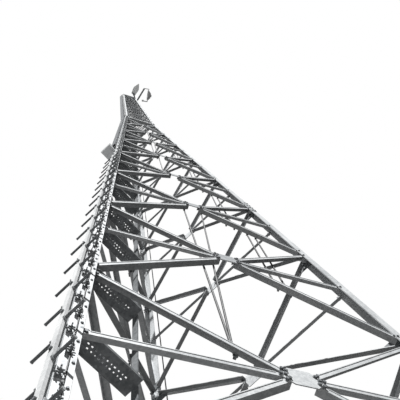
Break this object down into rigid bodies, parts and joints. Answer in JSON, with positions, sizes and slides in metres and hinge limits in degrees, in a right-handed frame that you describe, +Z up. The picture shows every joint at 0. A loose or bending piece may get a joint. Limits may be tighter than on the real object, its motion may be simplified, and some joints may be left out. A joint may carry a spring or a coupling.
{
  "type": "lattice tower",
  "caption": "Tall three-legged self-supporting lattice tower of galvanised angle steel, with a climbing rail, a cable duct and small antennas at its head.",
  "frame": {"origin": "centre of the underside of leg A's base plate", "axes": "+Z up along the tower, +X from leg A to leg B, +Y from the AB face towards leg C"},
  "size_m": [4.3102, 3.7328, 39.708],
  "materials": {
    "galvanised_steel": "satin",
    "duct_metal": "matte",
    "dish_metal": "satin",
    "radome": "matte"
  },
  "bodies": {
    "root": {"base_plate_a": "galvanised_steel", "base_plate_b": "galvanised_steel", "base_plate_c": "galvanised_steel", "leg_a_lower": "galvanised_steel", "leg_b_lower": "galvanised_steel", "leg_c_lower": "galvanised_steel", "leg_a_middle": "galvanised_steel", "leg_b_middle": "galvanised_steel", "leg_c_middle": "galvanised_steel", "leg_a_top": "galvanised_steel", "leg_b_top": "galvanised_steel", "leg_c_top": "galvanised_steel", "bracing_ab_low": "galvanised_steel", "bracing_ab_mid": "galvanised_steel", "bracing_ab_high": "galvanised_steel", "bracing_bc_low": "galvanised_steel", "bracing_bc_mid": "galvanised_steel", "bracing_bc_high": "galvanised_steel", "bracing_ca_low": "galvanised_steel", "bracing_ca_mid": "galvanised_steel", "bracing_ca_high": "galvanised_steel", "top_bracing_ab": "galvanised_steel", "top_bracing_bc": "galvanised_steel", "top_bracing_ca": "galvanised_steel", "waist_ring": "galvanised_steel", "head_frame": "galvanised_steel", "inner_brackets": "galvanised_steel", "inner_rail": "galvanised_steel", "climbing_rail": "galvanised_steel", "climbing_rungs": "galvanised_steel", "rail_brackets": "galvanised_steel", "junction_box": "duct_metal", "box_bracket": "galvanised_steel", "duct_lower": "duct_metal", "duct_upper": "duct_metal", "duct_brackets": "galvanised_steel", "dish_arm": "galvanised_steel", "dish": "dish_metal", "dish_feed": "dish_metal", "panel_arm": "galvanised_steel", "panel_antenna": "radome"}
  },
  "joints": []
}
